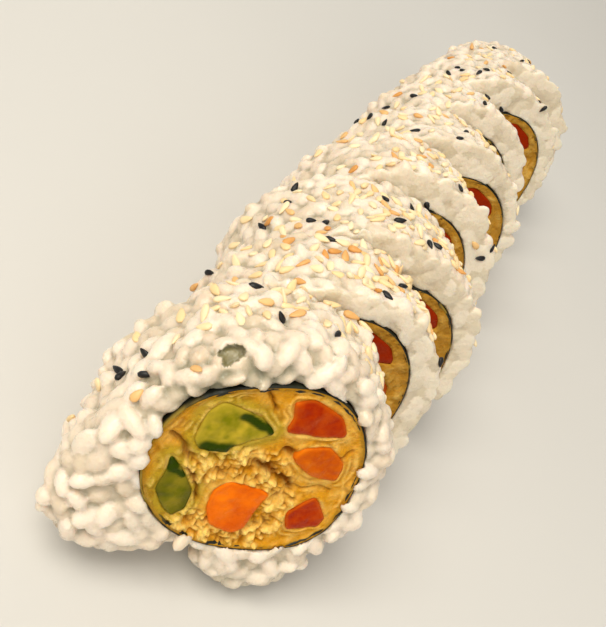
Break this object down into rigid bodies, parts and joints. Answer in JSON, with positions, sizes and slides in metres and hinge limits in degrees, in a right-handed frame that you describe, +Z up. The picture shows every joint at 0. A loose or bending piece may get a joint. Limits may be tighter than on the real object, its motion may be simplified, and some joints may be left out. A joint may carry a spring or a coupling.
{
  "type": "sliced uramaki roll",
  "caption": "Inside-out sushi roll cut into slices that still stand in a leaning row: rice with sesame round nori, golden batter and strips of carrot and green vegetable.",
  "frame": {"origin": "on the table, under the middle of the whole row's box", "axes": "+Y along the row from the rough end piece to the last slice, +Z up"},
  "size_m": [0.052, 0.1942, 0.0456],
  "materials": {
    "rice": "moist cooked rice",
    "nori": "damp dark seaweed",
    "batter": "crumbly golden batter",
    "deep_carrot": "wet cooked carrot, deep",
    "carrot": "wet cooked carrot",
    "bright_carrot": "wet cooked carrot, bright",
    "green_vegetable": "wet green flesh with dark skin",
    "sesame_cream": "cream sesame seed",
    "sesame_toasted": "toasted sesame seed",
    "sesame_black": "black sesame seed"
  },
  "bodies": {
    "root": {"slice_1_rice": "rice", "slice_1_nori": "nori", "slice_1_batter": "batter", "slice_1_carrot_upper": "deep_carrot", "slice_1_carrot_right": "carrot", "slice_1_carrot_lower": "bright_carrot", "slice_1_green_upper": "green_vegetable", "slice_1_carrot_low_right": "deep_carrot", "slice_1_green_left": "green_vegetable", "slice_2_rice": "rice", "slice_2_nori": "nori", "slice_2_batter": "batter", "slice_2_carrot_upper": "deep_carrot", "slice_2_carrot_right": "carrot", "slice_2_carrot_lower": "bright_carrot", "slice_2_green_upper": "green_vegetable", "slice_3_rice": "rice", "slice_3_nori": "nori", "slice_3_batter": "batter", "slice_3_carrot_upper": "deep_carrot", "slice_3_carrot_right": "carrot", "slice_3_carrot_lower": "bright_carrot", "slice_3_green_upper": "green_vegetable", "slice_4_rice": "rice", "slice_4_nori": "nori", "slice_4_batter": "batter", "slice_4_carrot_upper": "deep_carrot", "slice_4_carrot_right": "carrot", "slice_4_carrot_lower": "bright_carrot", "slice_4_green_upper": "green_vegetable", "slice_5_rice": "rice", "slice_5_nori": "nori", "slice_5_batter": "batter", "slice_5_carrot_upper": "deep_carrot", "slice_5_carrot_right": "carrot", "slice_5_carrot_lower": "bright_carrot", "slice_5_green_upper": "green_vegetable", "slice_6_rice": "rice", "slice_6_nori": "nori", "slice_6_batter": "batter", "slice_6_carrot_upper": "deep_carrot", "slice_6_carrot_right": "carrot", "slice_6_carrot_lower": "bright_carrot", "slice_6_green_upper": "green_vegetable", "slice_7_rice": "rice", "slice_7_nori": "nori", "slice_7_batter": "batter", "slice_7_carrot_upper": "deep_carrot", "slice_7_carrot_right": "carrot", "slice_7_carrot_lower": "bright_carrot", "slice_7_green_upper": "green_vegetable", "slice_8_rice": "rice", "slice_8_nori": "nori", "slice_8_batter": "batter", "slice_8_carrot_upper": "deep_carrot", "slice_8_carrot_right": "carrot", "slice_8_carrot_lower": "bright_carrot", "slice_8_green_upper": "green_vegetable"}
  },
  "joints": []
}
